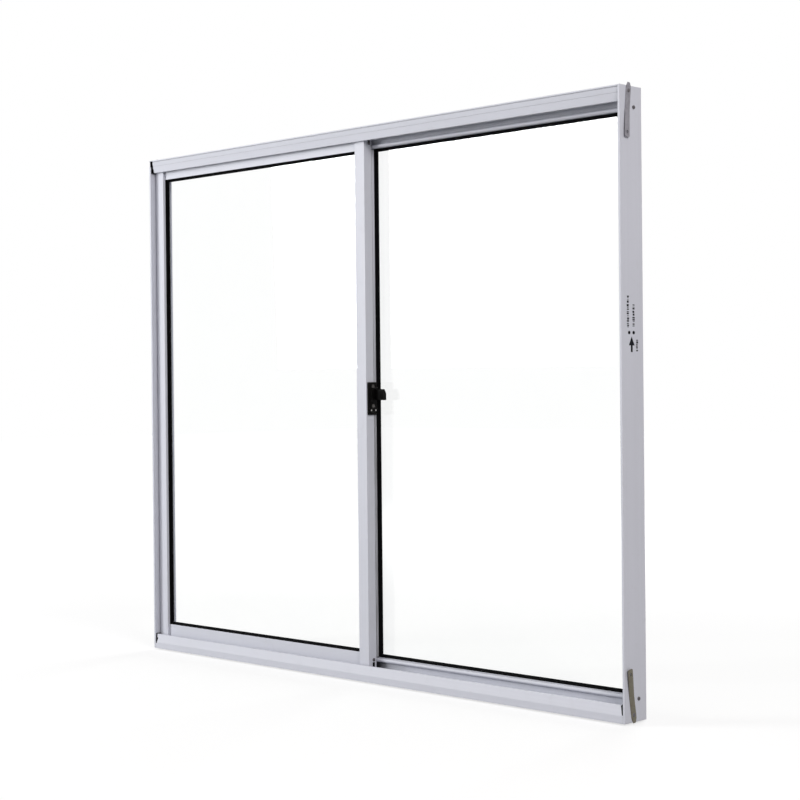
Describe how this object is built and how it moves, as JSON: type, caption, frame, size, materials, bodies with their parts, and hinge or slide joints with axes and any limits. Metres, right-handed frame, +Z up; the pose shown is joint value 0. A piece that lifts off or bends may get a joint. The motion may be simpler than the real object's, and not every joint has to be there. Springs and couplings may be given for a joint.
{
  "type": "horizontal sliding window",
  "caption": "Two-panel horizontal sliding window: pale aluminium frame and sashes, clear glass, black gaskets, side latch and wall anchor straps.",
  "frame": {"origin": "middle of the sill's flat underside, at mid width and mid depth", "axes": "+X to the right along the width seen from the room, +Y towards the outside, +Z up"},
  "size_m": [1.2084, 0.056, 1.0065],
  "materials": {
    "frame_aluminium": "pale blue-grey powder coat",
    "sash_aluminium": "pale blue-grey powder coat",
    "clear_glass": "clear float",
    "black_rubber": "matte",
    "black_plastic": "matte",
    "grey_nylon": "matte",
    "grey_pile": "pile",
    "screw_steel": "dull zinc",
    "latch_screw_steel": "satin",
    "strap_galvanised": "galvanised, dull",
    "strap_yellow_zinc": "weathered yellow zinc"
  },
  "bodies": {
    "root": {"anchor_rivets_left": "screw_steel", "anchor_rivets_right": "screw_steel", "anchor_strap_left_bottom": "strap_yellow_zinc", "anchor_strap_left_top": "strap_galvanised", "anchor_strap_right_bottom": "strap_yellow_zinc", "anchor_strap_right_top": "strap_galvanised", "corner_seals_bottom": "black_rubber", "corner_seals_top": "black_rubber", "frame_head": "frame_aluminium", "frame_jamb_left": "frame_aluminium", "frame_jamb_right": "frame_aluminium", "frame_screws_left": "screw_steel", "frame_screws_right": "screw_steel", "frame_sill": "frame_aluminium", "front_sash_bottom_rail": "sash_aluminium", "front_sash_gasket": "black_rubber", "front_sash_glass": "clear_glass", "front_sash_meeting_stile": "sash_aluminium", "front_sash_roller_carriers": "black_plastic", "front_sash_rollers": "grey_nylon", "front_sash_screws": "screw_steel", "front_sash_side_stile": "sash_aluminium", "front_sash_top_guides": "black_plastic", "front_sash_top_rail": "sash_aluminium", "interlock_pile": "grey_pile", "latch_body": "black_plastic", "latch_keeper": "black_plastic", "latch_lever": "black_plastic", "latch_screws": "latch_screw_steel", "rear_sash_bottom_rail": "sash_aluminium", "rear_sash_gasket": "black_rubber", "rear_sash_glass": "clear_glass", "rear_sash_meeting_stile": "sash_aluminium", "rear_sash_roller_carriers": "black_plastic", "rear_sash_rollers": "grey_nylon", "rear_sash_screws": "screw_steel", "rear_sash_side_stile": "sash_aluminium", "rear_sash_top_guides": "black_plastic", "rear_sash_top_rail": "sash_aluminium"}
  },
  "joints": []
}
